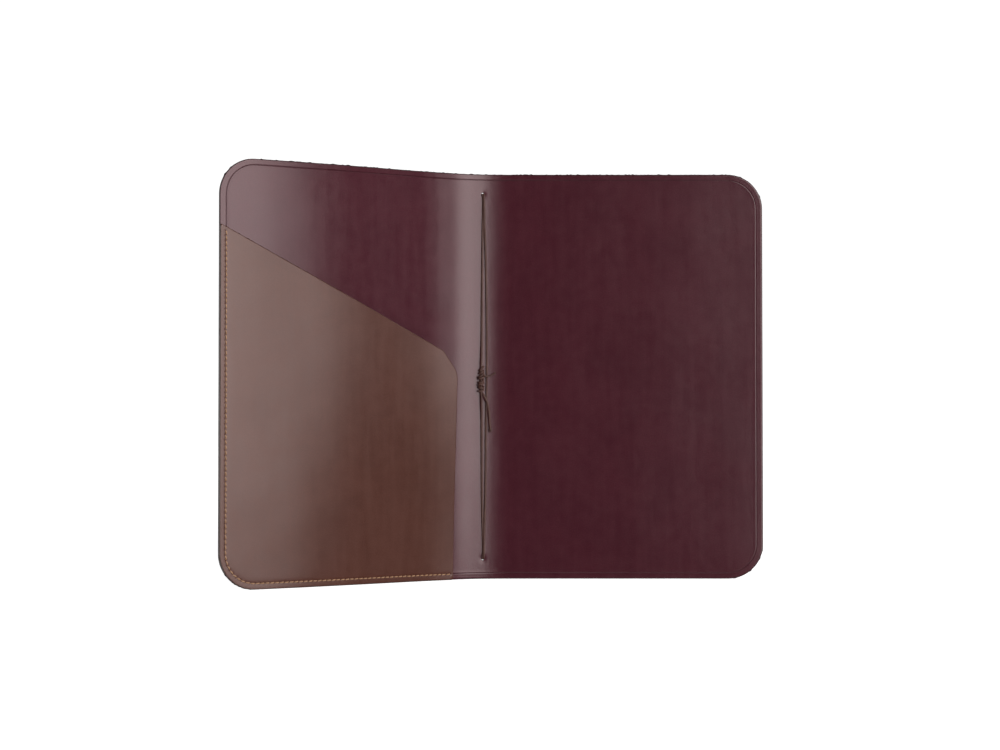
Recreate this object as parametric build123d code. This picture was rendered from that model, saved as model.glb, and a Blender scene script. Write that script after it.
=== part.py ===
"""Leather passport wallet, standing open on its bottom edge like a book.

One burgundy leather cover folds at its spine, a brown leather pocket is sewn to the inside of
the front panel, and a thin waxed cord is tied through two punched holes along the spine.

All sizes are millimetres. +Z is up, +X runs from the front panel to the back panel and +Y points
away from the inside of the cover. A place on the leather is given by s, the distance along the
leather from the line of the cord holes (positive towards the back panel's edge), by n, the
distance in front of the leather's inner face, and by z, the height above the bottom edge.
"""
import os
from math import cos, pi, radians, sin

from build123d import *

os.makedirs("parts", exist_ok=True)

# Cover leather
COVER_HEIGHT = 140.0
PANEL_WIDTH = 97.0
COVER_THICKNESS = 1.2
CORNER_RADIUS = 12.0

# How the cover stands open: flat back panel, bend over the spine, slightly bowed front panel
BEND_START = 3.5
BEND_RADIUS = 29.0
BEND_ANGLE = radians(34.5)
FRONT_EDGE_ANGLE = radians(25.0)

# Fold lines either side of the spine, and the slots that let the panels open flat
FOLD_OFFSET = 3.5
FOLD_AXIS_HEIGHT = 1.5
BACK_FOLD_OPENING = 10.0
FRONT_FOLD_OPENING = 20.0
FOLD_SLOT_MARGIN = 2.5
FOLD_SLOT_REACH = 8.0

# Pocket leather: a slanted mouth, a clipped free corner and an upright free side
POCKET_THICKNESS = 0.8
POCKET_GAP = 0.05
POCKET_MOUTH_HEIGHT_AT_EDGE = 118.4
POCKET_CORNER = (-16.0, 78.5)
POCKET_SHOULDER = (-10.6, 71.0)
POCKET_FOOT = (-11.1, 0.0)
POCKET_CORNER_RADIUS = 2.5
POCKET_SHOULDER_RADIUS = 4.0
POCKET_BLANK_END = -6.0
CUT_MARGIN = 4.0

# Pocket thread
SEAM_INSET = 2.0
SEAM_TOP = 116.2
SEAM_END = -12.2
STITCH_PITCH = 1.69
STITCH_LENGTH = 1.3
STITCH_RADIUS = 0.22
THREAD_CLEARANCE = 0.01

# Spine cord
CORD_DIAMETER = 0.8
CORD_LIFT = 0.47
CORD_SIDE_STEP = 0.42
HOLE_RADIUS = 0.85
HOLE_INSET = 6.8
HOLE_TURN_RADIUS = 0.45
GENTLE_BEND_RADIUS = 40.0
KNOT_RADIUS = 1.3
KNOT_END_RADIUS = 0.55
KNOT_TAPER = 1.6
KNOT_BOTTOM = 63.7
KNOT_LENGTH = 10.4
KNOT_PLACE = (-0.65, 1.4)
KNOT_CLEARANCE = 0.02

BEND_END = BEND_START - BEND_RADIUS * BEND_ANGLE
FRONT_BOW_RADIUS = (PANEL_WIDTH + BEND_END) / (BEND_ANGLE - FRONT_EDGE_ANGLE)
HOLE_HEIGHTS = (HOLE_INSET, COVER_HEIGHT - HOLE_INSET)


def turn_at(s):
    """Angle, in radians, by which the leather has turned towards the reader at s."""
    if s >= BEND_START:
        return 0.0
    if s >= BEND_END:
        return (BEND_START - s) / BEND_RADIUS
    return BEND_ANGLE - (BEND_END - s) / FRONT_BOW_RADIUS


def inward(angle):
    """Plan direction that the inner face looks in where the leather has turned by angle."""
    return Vector(sin(angle), -cos(angle), 0)


def along(s):
    """Plan direction of growing s."""
    return Vector(cos(turn_at(s)), sin(turn_at(s)), 0)


def place(s, n=0.0, z=0.0):
    """Point in space at s along the leather, n in front of its inner face and z up."""
    bend_centre = Vector(BEND_START, -BEND_RADIUS, 0)
    if s >= BEND_START:
        base = Vector(s, 0, 0)
    elif s >= BEND_END:
        base = bend_centre - inward(turn_at(s)) * BEND_RADIUS
    else:
        bow_centre = bend_centre - inward(BEND_ANGLE) * (BEND_RADIUS + FRONT_BOW_RADIUS)
        base = bow_centre + inward(turn_at(s)) * FRONT_BOW_RADIUS
    return base + inward(turn_at(s)) * n + Vector(0, 0, z)


def leather_run(s_from, s_to, n):
    """Plan edges that follow the leather at a constant n, as one line and two arcs."""
    low, high = sorted((s_from, s_to))
    stops = [low] + [s for s in (BEND_END, BEND_START) if low < s < high] + [high]
    if s_from > s_to:
        stops.reverse()
    edges = []
    for start, end in zip(stops, stops[1:]):
        middle = (start + end) / 2
        if middle > BEND_START:
            edges.append(Line(place(start, n), place(end, n)))
        else:
            edges.append(ThreePointArc(place(start, n), place(middle, n), place(end, n)))
    return edges


def leather_sheet(s_from, s_to, n_back, n_front):
    """Sheet of leather as tall as the cover, between two distances from its inner face."""
    edges = leather_run(s_from, s_to, n_back)
    edges.append(Line(place(s_to, n_back), place(s_to, n_front)))
    edges += leather_run(s_to, s_from, n_front)
    edges.append(Line(place(s_from, n_front), place(s_from, n_back)))
    return extrude(make_face(edges), COVER_HEIGHT, dir=(0, 0, 1))


def round_corners(sheet, s, n_middle, heights):
    """Round the corners that a sheet has at its side edge s."""
    corners = [place(s, n_middle, z) for z in heights]
    edges = [e for e in sheet.edges() if min((e.center() - c).length for c in corners) < 0.1]
    return fillet(edges, CORNER_RADIUS)


def fold_axis(s):
    """Plan position of the line that the leather turns about at a fold."""
    return place(s, FOLD_AXIS_HEIGHT)


def fold_slot(s, opening):
    """Wedge with its tip on the fold axis, wide enough for the fold to open by its angle."""
    axis = fold_axis(s)
    half = radians((opening + FOLD_SLOT_MARGIN) / 2)
    sides = [axis - inward(turn_at(s) + turn) * FOLD_SLOT_REACH for turn in (-half, half)]
    outline = Polyline(axis, sides[0], sides[1], close=True)
    return Pos(0, 0, -CUT_MARGIN) * extrude(
        make_face(outline), COVER_HEIGHT + 2 * CUT_MARGIN, dir=(0, 0, 1)
    )


def make_cover():
    """Cut the cover's three panels, from the front panel to the back panel."""
    cover = leather_sheet(-PANEL_WIDTH, PANEL_WIDTH, -COVER_THICKNESS, 0.0)
    for s in (-PANEL_WIDTH, PANEL_WIDTH):
        cover = round_corners(cover, s, -COVER_THICKNESS / 2, (0, COVER_HEIGHT))
    for z in HOLE_HEIGHTS:
        hole_axis = Plane(place(0, -COVER_THICKNESS / 2, z), z_dir=inward(turn_at(0)))
        cover -= hole_axis * Cylinder(HOLE_RADIUS, 4 * COVER_THICKNESS)
    cover -= fold_slot(-FOLD_OFFSET, FRONT_FOLD_OPENING)
    cover -= fold_slot(FOLD_OFFSET, BACK_FOLD_OPENING)
    return cover.solids().sort_by(Axis.X)


def make_pocket():
    """Cut the pocket to its outline on the front panel."""
    n_back = POCKET_GAP
    n_front = POCKET_GAP + POCKET_THICKNESS
    blank = leather_sheet(-PANEL_WIDTH, POCKET_BLANK_END, n_back, n_front)
    blank = round_corners(blank, -PANEL_WIDTH, (n_back + n_front) / 2, (0,))

    left_edge = place(-PANEL_WIDTH)
    chord = (place(POCKET_CORNER[0]) - left_edge).normalized()
    panel = Plane(left_edge, x_dir=chord, z_dir=chord.cross(Vector(0, 0, 1)))

    mouth_slope = (POCKET_CORNER[1] - POCKET_MOUTH_HEIGHT_AT_EDGE) / (POCKET_CORNER[0] + PANEL_WIDTH)
    side_slope = (POCKET_FOOT[0] - POCKET_SHOULDER[0]) / (POCKET_FOOT[1] - POCKET_SHOULDER[1])
    beyond_edge = (-PANEL_WIDTH - CUT_MARGIN, POCKET_MOUTH_HEIGHT_AT_EDGE - CUT_MARGIN * mouth_slope)
    below_foot = (POCKET_FOOT[0] - CUT_MARGIN * side_slope, -CUT_MARGIN)
    below_edge = (beyond_edge[0], -CUT_MARGIN)
    corners = (beyond_edge, POCKET_CORNER, POCKET_SHOULDER, below_foot)
    points = [(s + PANEL_WIDTH, z) for s, z in corners]
    free_edge = FilletPolyline(*points, radius=[POCKET_CORNER_RADIUS, POCKET_SHOULDER_RADIUS])
    closing = Polyline(points[-1], (below_edge[0] + PANEL_WIDTH, below_edge[1]), points[0])
    outline = make_face(free_edge.edges() + closing.edges())
    return blank & extrude(panel * outline, PANEL_WIDTH / 2, both=True)


def seam_place(distance):
    """Place (s, z) on the seam and its direction there, from its top down and along the bottom."""
    side = -PANEL_WIDTH + SEAM_INSET
    turn_radius = CORNER_RADIUS - SEAM_INSET
    down = SEAM_TOP - CORNER_RADIUS
    round_the_corner = turn_radius * pi / 2
    if distance < down:
        return side, SEAM_TOP - distance, (0.0, -1.0)
    if distance < down + round_the_corner:
        angle = (distance - down) / turn_radius
        s = side + turn_radius * (1 - cos(angle))
        return s, CORNER_RADIUS - turn_radius * sin(angle), (sin(angle), -cos(angle))
    return side + turn_radius + distance - down - round_the_corner, SEAM_INSET, (1.0, 0.0)


def make_thread(n):
    """Row of separate stitches round the pocket, lying on the face at n."""
    stitches = []
    distance = STITCH_PITCH / 2
    while True:
        s, z, (step_s, step_z) = seam_place(distance)
        if s > SEAM_END:
            return stitches
        run = along(s) * step_s + Vector(0, 0, step_z)
        stitches.append(Plane(place(s, n, z), z_dir=run) * Cylinder(STITCH_RADIUS, STITCH_LENGTH))
        distance += STITCH_PITCH


def beside_holes(s, n, z):
    """Point in the flat plane that touches the leather along the line of the cord holes."""
    return place(0, n, z) + along(0) * s


def make_strand(points, radii):
    """Round cord along straight runs joined by arcs, with its length printed beside its volume."""
    path = FilletPolyline(*[beside_holes(*p) for p in points], radius=radii)
    section = Plane(path @ 0, z_dir=path % 0) * Circle(CORD_DIAMETER / 2)
    strand = sweep(section, path)
    tube_volume = path.length * pi * CORD_DIAMETER ** 2 / 4
    print(f"strand {path.length:.1f} mm, radii {radii}, volume {strand.volume:.2f} / {tube_volume:.2f}")
    return strand


def make_outer_strand(s):
    """Strand outside the spine, with both of its ends going in through the holes."""
    bottom, top = HOLE_HEIGHTS
    outside = -COVER_THICKNESS - CORD_LIFT
    points = [(s, 0, top), (s, outside, top), (s, outside, bottom), (s, 0, bottom)]
    return make_strand(points, [HOLE_TURN_RADIUS, HOLE_TURN_RADIUS])


def make_right_strand():
    """Strand inside the spine, from one hole to the other beside the knot."""
    bottom, top = HOLE_HEIGHTS
    points = [
        (CORD_SIDE_STEP, 0, top),
        (CORD_SIDE_STEP, CORD_LIFT, top),
        (0.95, CORD_LIFT, top - 9),
        (1.1, CORD_LIFT, 68),
        (0.95, CORD_LIFT, bottom + 9),
        (CORD_SIDE_STEP, CORD_LIFT, bottom),
        (CORD_SIDE_STEP, 0, bottom),
    ]
    turns = [GENTLE_BEND_RADIUS] * 3
    return make_strand(points, [HOLE_TURN_RADIUS] + turns + [HOLE_TURN_RADIUS])


def make_left_strand(hole_height, knot_height):
    """Strand inside the spine, from a hole to one end of the knot."""
    towards_knot = 1 if knot_height > hole_height else -1
    knot_s, knot_n = KNOT_PLACE
    end = knot_height - towards_knot * KNOT_CLEARANCE
    points = [
        (-CORD_SIDE_STEP, 0, hole_height),
        (-CORD_SIDE_STEP, CORD_LIFT, hole_height),
        (-0.6, CORD_LIFT, end - towards_knot * 9.5),
        (knot_s, knot_n, end - towards_knot * 2.5),
        (knot_s, knot_n, end),
    ]
    return make_strand(points, [HOLE_TURN_RADIUS, 15.0, 6.0])


def make_knot():
    """Closed barrel round the wrapped turns of the knot."""
    profile = Polyline(
        (0, 0),
        (KNOT_END_RADIUS, 0),
        (KNOT_RADIUS, KNOT_TAPER),
        (KNOT_RADIUS, KNOT_LENGTH - KNOT_TAPER),
        (KNOT_END_RADIUS, KNOT_LENGTH),
        (0, KNOT_LENGTH),
        close=True,
    )
    barrel = revolve(Plane.XZ * make_face(profile), Axis.Z)
    return Pos(*beside_holes(*KNOT_PLACE, KNOT_BOTTOM)) * barrel


def make_short_tail():
    """Stub of cord that stands out of the knot over the right strand."""
    start = KNOT_PLACE[0] + KNOT_RADIUS + KNOT_CLEARANCE
    root = beside_holes(start, 1.55, 70.6)
    tip = beside_holes(4.2, 1.85, 71.0)
    stub = Cylinder(CORD_DIAMETER / 2, (tip - root).length)
    return Plane((root + tip) / 2, z_dir=tip - root) * stub


def make_long_tail():
    """End of the cord that hangs from the knot beside the right strand."""
    points = [(0.0, 2.35, 63.6), (0.6, 2.2, 62.2), (1.75, 1.9, 60.4), (2.35, 1.2, 56.5), (2.6, 0.95, 51.5)]
    return make_strand(points, [2.4, 2.4, 8.0])


def make_nodes():
    """Every sub-part of the wallet by name, before it is centred on its own box."""
    front_panel, spine, back_panel = make_cover()
    inner_thread = POCKET_GAP + POCKET_THICKNESS + STITCH_RADIUS + THREAD_CLEARANCE
    outer_thread = -COVER_THICKNESS - STITCH_RADIUS - THREAD_CLEARANCE
    bottom, top = HOLE_HEIGHTS
    return {
        "cover_back_panel": back_panel,
        "cover_spine": spine,
        "cover_front_panel": front_panel,
        "pocket": make_pocket(),
        "pocket_thread_inside": Compound(make_thread(inner_thread)),
        "pocket_thread_outside": Compound(make_thread(outer_thread)),
        "cord_right_strand": make_right_strand(),
        "cord_left_strand_upper": make_left_strand(top, KNOT_BOTTOM + KNOT_LENGTH),
        "cord_left_strand_lower": make_left_strand(bottom, KNOT_BOTTOM),
        "cord_outer_strand_left": make_outer_strand(-CORD_SIDE_STEP),
        "cord_outer_strand_right": make_outer_strand(CORD_SIDE_STEP),
        "cord_knot": make_knot(),
        "cord_short_tail": make_short_tail(),
        "cord_long_tail": make_long_tail(),
    }


nodes = make_nodes()
box = Compound([solid for node in nodes.values() for solid in node.solids()]).bounding_box()
centre = Vector((box.min.X + box.max.X) / 2, (box.min.Y + box.max.Y) / 2, 0)
for name, node in nodes.items():
    export_step(Pos(*-centre) * node, f"parts/{name}.step")

for name, s in (("back fold", FOLD_OFFSET), ("front fold", -FOLD_OFFSET)):
    axis = fold_axis(s) - centre
    print(f"{name} axis at x {axis.X:.4f}, y {axis.Y:.4f}")
print(f"back panel inner face at y {-centre.Y:.4f}, hole line at x {place(0).X - centre.X:.4f}")
print(f"whole box {box.size.X:.2f} x {box.size.Y:.2f} x {box.size.Z:.2f}")
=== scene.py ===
"""Looks of the leather passport wallet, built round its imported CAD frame.

The wallet stands open on its bottom edge. A place on the leather is (s, n, z), in metres: s is the
distance along the leather from the line of the cord holes (positive towards the back panel's edge),
n the distance in front of the inner face, and z the height above the bottom edge.
"""

from math import cos, pi, radians, sin, tan

import bpy
import numpy as np
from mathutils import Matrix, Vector
from mathutils.geometry import delaunay_2d_cdt


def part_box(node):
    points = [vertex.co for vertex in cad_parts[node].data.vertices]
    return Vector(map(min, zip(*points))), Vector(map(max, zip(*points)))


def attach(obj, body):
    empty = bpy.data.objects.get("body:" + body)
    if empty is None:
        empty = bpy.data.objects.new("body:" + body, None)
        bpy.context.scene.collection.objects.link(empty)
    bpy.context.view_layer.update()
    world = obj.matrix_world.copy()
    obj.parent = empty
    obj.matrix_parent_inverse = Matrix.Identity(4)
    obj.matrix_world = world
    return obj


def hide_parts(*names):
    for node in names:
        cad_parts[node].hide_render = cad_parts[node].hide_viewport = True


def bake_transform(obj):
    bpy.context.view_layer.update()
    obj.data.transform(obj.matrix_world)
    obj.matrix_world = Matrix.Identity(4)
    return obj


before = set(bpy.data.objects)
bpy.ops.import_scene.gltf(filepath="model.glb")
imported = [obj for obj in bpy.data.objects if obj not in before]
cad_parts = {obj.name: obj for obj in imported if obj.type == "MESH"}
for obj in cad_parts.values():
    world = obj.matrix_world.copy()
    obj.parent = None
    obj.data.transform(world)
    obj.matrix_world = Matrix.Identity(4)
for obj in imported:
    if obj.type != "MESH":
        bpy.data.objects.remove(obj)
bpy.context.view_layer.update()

MM = 0.001

# Cover leather, in the frame's own size
back_low, back_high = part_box("cover_back_panel")
HEIGHT = back_high.z - back_low.z
THICKNESS = back_high.y - back_low.y
PANEL_WIDTH = 97.0 * MM
CORNER_RADIUS = 12.0 * MM
HOLE_LINE = Vector((back_high.x - PANEL_WIDTH, back_low.y, back_low.z))

# Direction of the leather, in degrees from +X towards +Y, at places along it in millimetres
TURNS = (
    (-97.0, 26.1), (-60.0, 31.0), (-36.0, 33.5), (-26.0, 32.2), (-16.0, 28.3), (-9.0, 25.5),
    (-6.0, 20.8), (-3.0, 13.7), (0.0, 8.3), (3.5, 5.0), (6.5, 2.7), (9.5, 0.0),
)

# Number of places at which the leather's plan line is worked out
PLAN_POINTS = 4001

# Line on the spine where the cover's two meshes meet
SPLIT = 1.8 * MM

# Slow unevenness of the panels
LONG_WAVE_HEIGHT = 0.042 * MM
SHORT_WAVE_HEIGHT = 0.011 * MM

# Edges: the rounding, how far the middle of the cut edge stands out, and its loose fibres
EDGE_ROUNDING = 0.32 * MM
EDGE_BULGE = 0.03 * MM
EDGE_ROUGHNESS = 0.24 * MM

# Creased line round the cover. It loses a share of its depth, CREASE_FADING, between two places s.
CREASE_INSET_ENDS = 2.0 * MM
CREASE_INSET_SIDES = 2.3 * MM
CREASE_DEPTH = 0.07 * MM
CREASE_WIDTH = 0.12 * MM
CREASE_LIPS = 0.16
CREASE_LIP_OFFSET = 2.6 * CREASE_WIDTH
CREASE_FADE = (10.0 * MM, 50.0 * MM)
CREASE_FADING = 0.7

# Cord holes, drawn out by the cord
HOLE_INSET = 6.8 * MM
HOLES = (HOLE_INSET, HEIGHT - HOLE_INSET)
HOLE_RADIUS = 0.58 * MM
HOLE_SHIFT = 0.24 * MM
HOLE_TIP = 0.6 * MM
HOLE_SHARPNESS = 0.24 * MM
HOLE_DIMPLE = 0.05 * MM
HOLE_DIMPLE_WIDTH = 0.6 * MM

# Pocket leather, its corners and their radii in millimetres, and how its free corner stands off the panel
POCKET_THICKNESS = 0.8 * MM
POCKET_GAP = 0.05 * MM
POCKET_CORNERS = ((-97.0, 118.4), (-97.0, 0.0), (-11.1, 0.0), (-10.6, 71.0), (-16.0, 78.5))
POCKET_RADII = (0.4, CORNER_RADIUS / MM, 0.5, 6.5, 2.5)
POCKET_LIFT = 2.9 * MM
LIFT_ACROSS = (-82.0 * MM, 4.0 * MM)
LIFT_UP = (4.0 * MM, 84.0 * MM)

# Seam, its stitches, and how far the thread pulls the leather down
SEAM_INSET = 2.0 * MM
SEAM_TOP = 116.2 * MM
SEAM_END = -12.2 * MM
STITCH_PITCH = 1.69 * MM
STITCH_LENGTH = 1.26 * MM
STITCH_RADIUS = 0.23 * MM
STITCH_LEAN = 0.07 * MM
STITCH_LEAN_SPREAD = 0.04 * MM
STITCH_RISE_SPREAD = 0.03 * MM
SEAM_VALLEY = 0.035 * MM
SEAM_VALLEY_WIDTH = 0.7 * MM
NEEDLE_HOLE_DEPTH = 0.11 * MM
NEEDLE_HOLE_WIDTH = 0.28 * MM

# Cord: its radius, how far its middle lies off the outer face, and the length of one twist
CORD_RADIUS = 0.36 * MM
CORD_LIFT = 0.47 * MM
CORD_TWIST = 2.6 * MM

# Two places this close together count as one
TOUCHING = 1e-7


# ---------------------------------------------------------------- shape of the leather

def smoothstep(low, high, value):
    """0 below low, 1 above high, and a smooth rise between them."""
    t = np.clip((value - low) / (high - low), 0.0, 1.0)
    return t * t * (3.0 - 2.0 * t)


def smooth_curve(points, at):
    """Cubic curve through points, level beyond the last one."""
    xs, ys = np.array(points).T
    slopes = np.gradient(ys, xs)
    slopes[-1] = 0.0
    i = np.clip(np.searchsorted(xs, at) - 1, 0, len(xs) - 2)
    step = xs[i + 1] - xs[i]
    t = np.clip((at - xs[i]) / step, 0.0, 1.0)
    rise = (2 * t**3 - 3 * t**2 + 1) * ys[i] + (3 * t**2 - 2 * t**3) * ys[i + 1]
    return rise + (t**3 - 2 * t**2 + t) * step * slopes[i] + (t**3 - t**2) * step * slopes[i + 1]


def integrate_leather():
    """Plan line of the inner face as arrays of s, turn, x and y, from the front edge to the back."""
    s = np.linspace(-PANEL_WIDTH, PANEL_WIDTH, PLAN_POINTS)
    turn = np.radians(smooth_curve(TURNS, s / MM))
    step = s[1] - s[0]
    middle = (turn[:-1] + turn[1:]) / 2
    x = np.concatenate([[0.0], np.cumsum(np.cos(middle) * step)])
    y = np.concatenate([[0.0], np.cumsum(np.sin(middle) * step)])
    return s, turn, x - x[-1] + PANEL_WIDTH, y - y[-1]


LEATHER_S, LEATHER_TURN, LEATHER_X, LEATHER_Y = integrate_leather()


def turn_at(s):
    """Angle, in radians, by which the leather has turned at s."""
    return np.interp(s, LEATHER_S, LEATHER_TURN)


def place(s, n, z):
    """Points in space at s along the leather, n in front of its inner face and z up."""
    turn = turn_at(s)
    x = np.interp(s, LEATHER_S, LEATHER_X) + n * np.sin(turn) + HOLE_LINE.x
    y = np.interp(s, LEATHER_S, LEATHER_Y) - n * np.cos(turn) + HOLE_LINE.y
    return np.stack([x, y, z + HOLE_LINE.z + 0.0 * s], axis=-1)


def waves(s, z):
    """n of the plain inner face, which is slowly uneven by a few hundredths of a millimetre."""
    long = np.sin(2 * pi * (s / 0.057 + z / 0.083) + 0.7) * np.sin(2 * pi * (z / 0.061 - s / 0.130) + 2.1)
    short = np.sin(2 * pi * (s / 0.023 - z / 0.037) + 1.9) * np.sin(2 * pi * (z / 0.029 + s / 0.071))
    return LONG_WAVE_HEIGHT * long + SHORT_WAVE_HEIGHT * short


def rounded_inset(s, z, half_width, half_height, radius):
    """Distance in from the edge of a rounded rectangle centred on the cover."""
    across = np.abs(s) - (half_width - radius)
    up = np.abs(z - HEIGHT / 2) - (half_height - radius)
    beyond = np.hypot(np.maximum(across, 0.0), np.maximum(up, 0.0))
    return radius - beyond - np.minimum(np.maximum(across, up), 0.0)


def cover_inset(s, z):
    """Distance in from the cover's edge."""
    return rounded_inset(s, z, PANEL_WIDTH, HEIGHT / 2, CORNER_RADIUS)


def crease_distance(s, z):
    """Distance inside the creased line, negative between that line and the edge."""
    half_width = PANEL_WIDTH - CREASE_INSET_SIDES
    half_height = HEIGHT / 2 - CREASE_INSET_ENDS
    return rounded_inset(s, z, half_width, half_height, CORNER_RADIUS - CREASE_INSET_ENDS)


def hole_reach(angle):
    """How far a hole reaches from its centre, at an angle from the direction of the cover's nearest end.

    The cord has drawn it out: a circle moved by HOLE_SHIFT, and a tip at HOLE_TIP on the other side.
    """
    half_tip = np.arcsin(HOLE_RADIUS / (HOLE_TIP + HOLE_SHIFT))
    lean = pi / 2 - half_tip
    touch = np.arctan2(HOLE_RADIUS * sin(lean), HOLE_RADIUS * cos(lean) - HOLE_SHIFT)
    angle = np.abs(np.arctan2(np.sin(angle), np.cos(angle)))
    circle = np.sqrt(HOLE_RADIUS**2 - (HOLE_SHIFT * np.sin(angle)) ** 2) - HOLE_SHIFT * np.cos(angle)
    tip = HOLE_TIP * sin(half_tip) / np.cos(np.minimum(angle, touch) - lean)
    return np.where(angle < touch, tip, circle)


def hole_distance(s, z):
    """Distance from the wall of the nearest cord hole."""
    up = np.where(z > HEIGHT / 2, z - HOLES[1], HOLES[0] - z)
    return np.hypot(s, up) - hole_reach(np.arctan2(s, up))


def edge_drop(inset, rounding):
    """How far a rounded edge lies below the face, at a distance in from the edge."""
    short = np.clip(rounding - inset, 0.0, rounding)
    return rounding - np.sqrt(rounding**2 - short**2)


def bump_line(distance, width):
    """A rounded ridge of height 1 along distance 0."""
    return np.exp(-((distance / width) ** 2))


def crease_drop(s, z):
    """Depth of the pressed line, with a low lip on each side. It gets shallower across the back panel."""
    distance = crease_distance(s, z)
    depth = CREASE_DEPTH * (1.0 - CREASE_FADING * smoothstep(*CREASE_FADE, s))
    lips = bump_line(distance - CREASE_LIP_OFFSET, CREASE_WIDTH)
    lips = lips + bump_line(distance + CREASE_LIP_OFFSET, CREASE_WIDTH)
    return depth * (bump_line(distance, CREASE_WIDTH) - CREASE_LIPS * lips)


# ---------------------------------------------------------------- seam

# Radius of the seam round the corner, and the lengths of its upright part and of its corner
SEAM_TURN = CORNER_RADIUS - SEAM_INSET
SEAM_SIDE = SEAM_TOP - CORNER_RADIUS
SEAM_CORNER = SEAM_TURN * pi / 2


def seam_place(distance):
    """Place (s, z) on the seam and its direction there, from its top down and along the bottom."""
    side = -PANEL_WIDTH + SEAM_INSET
    if distance < SEAM_SIDE:
        return side, SEAM_TOP - distance, (0.0, -1.0)
    if distance < SEAM_SIDE + SEAM_CORNER:
        angle = (distance - SEAM_SIDE) / SEAM_TURN
        s = side + SEAM_TURN * (1 - cos(angle))
        return s, CORNER_RADIUS - SEAM_TURN * sin(angle), (sin(angle), -cos(angle))
    return side + SEAM_TURN + distance - SEAM_SIDE - SEAM_CORNER, SEAM_INSET, (1.0, 0.0)


def seam_distances():
    """Distance along the seam of the middle of each stitch."""
    end = SEAM_SIDE + SEAM_CORNER + SEAM_END + PANEL_WIDTH - SEAM_INSET - SEAM_TURN
    return np.arange(STITCH_PITCH / 2, end, STITCH_PITCH)


def seam_drop(s, z):
    """How far the thread pulls the leather down, deepest at the needle holes."""
    across = cover_inset(s, z) - SEAM_INSET
    centre_s = -PANEL_WIDTH + CORNER_RADIUS
    angle = np.arctan2(CORNER_RADIUS - z, centre_s - s)
    along = np.where(
        z > CORNER_RADIUS,
        SEAM_TOP - z,
        np.where(
            s < centre_s,
            SEAM_SIDE + SEAM_TURN * angle,
            SEAM_SIDE + SEAM_CORNER + s - centre_s,
        ),
    )
    starts = smoothstep(-0.6 * MM, 0.3 * MM, along)
    ends = smoothstep(SEAM_END + 0.6 * MM, SEAM_END - 0.2 * MM, s)
    holes = 0.5 + 0.5 * np.cos(2 * pi * along / STITCH_PITCH)
    valley = SEAM_VALLEY * bump_line(across, SEAM_VALLEY_WIDTH)
    needle_holes = NEEDLE_HOLE_DEPTH * holes**3 * bump_line(across, NEEDLE_HOLE_WIDTH)
    return starts * ends * (s < 0) * (valley + needle_holes)


# ---------------------------------------------------------------- building meshes

# How far apart in its texture space the two faces of a sheet lie, so that they don't look alike
OUTER_FACE_OFFSET = 0.4

# Output type of the triangulation that drops what lies outside the outline
KEEP_INSIDE = 1


def add_object(name, mesh, material):
    """Put a mesh in the scene with one material."""
    mesh.materials.append(material)
    piece = bpy.data.objects.new(name, mesh)
    bpy.context.scene.collection.objects.link(piece)
    return piece


def add_uv(mesh, name, values):
    """UV map from one pair of numbers for each vertex."""
    corners = np.empty(len(mesh.loops), np.int32)
    mesh.loops.foreach_get("vertex_index", corners)
    layer = mesh.uv_layers.new(name=name)
    layer.data.foreach_set("uv", values[corners].astype(np.float32).ravel())


def fillet(corners, radii, spacing):
    """Closed outline, anticlockwise, through corners rounded to radii, with a point each spacing."""
    count = len(corners)
    arcs = []
    for i, radius in enumerate(radii):
        corner = np.array(corners[i])
        before = np.array(corners[i - 1]) - corner
        after = np.array(corners[(i + 1) % count]) - corner
        before = before / np.linalg.norm(before)
        after = after / np.linalg.norm(after)
        half = np.arccos(np.clip(before @ after, -1, 1)) / 2
        centre = corner + (before + after) / np.linalg.norm(before + after) * radius / sin(half)
        start = corner + before * radius / tan(half) - centre
        sweep = pi - 2 * half
        steps = max(3, int(np.ceil(radius * sweep / spacing)))
        angles = np.linspace(0, sweep, steps + 1)
        x = start[0] * np.cos(angles) - start[1] * np.sin(angles)
        y = start[0] * np.sin(angles) + start[1] * np.cos(angles)
        arcs.append(centre + np.stack([x, y], axis=1))
    points = []
    for i, arc in enumerate(arcs):
        points.extend(arc)
        end, start = arc[-1], arcs[(i + 1) % count][0]
        steps = int(np.ceil(np.linalg.norm(start - end) / spacing))
        points.extend(end + (start - end) * k / steps for k in range(1, steps))
    return np.array(points)


def offset_inwards(loop, distance):
    """Points of an anticlockwise loop moved in by a distance."""
    ahead = np.roll(loop, -1, axis=0) - np.roll(loop, 1, axis=0)
    ahead = ahead / np.linalg.norm(ahead, axis=1)[:, None]
    return loop + np.stack([-ahead[:, 1], ahead[:, 0]], axis=1) * distance


def distance_to_loop(loop, points):
    """Distance from each point to a closed loop of straight segments."""
    nearest = np.full(len(points), np.inf)
    for a, b in zip(loop, np.roll(loop, -1, axis=0)):
        along = b - a
        t = np.clip((points - a) @ along / (along @ along), 0.0, 1.0)
        nearest = np.minimum(nearest, np.linalg.norm(points - a - t[:, None] * along, axis=1))
    return nearest


def point_in_loop(loop, points):
    """Whether each point is inside a closed loop."""
    inside = np.zeros(len(points), bool)
    x, y = points.T
    for (ax, ay), (bx, by) in zip(loop, np.roll(loop, -1, axis=0)):
        if ay != by:
            crosses = (ay > y) != (by > y)
            inside ^= crosses & (x < (bx - ax) * (y - ay) / (by - ay) + ax)
    return inside


def grid(s_values, z_values):
    """All points of a grid."""
    across, up = np.meshgrid(s_values, z_values)
    return np.stack([across.ravel(), up.ravel()], axis=1)


def spaced(start, end, spacing):
    """Evenly spaced values from start to end, about spacing apart."""
    return np.linspace(start, end, max(2, int(round(abs(end - start) / spacing)) + 1))


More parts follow.
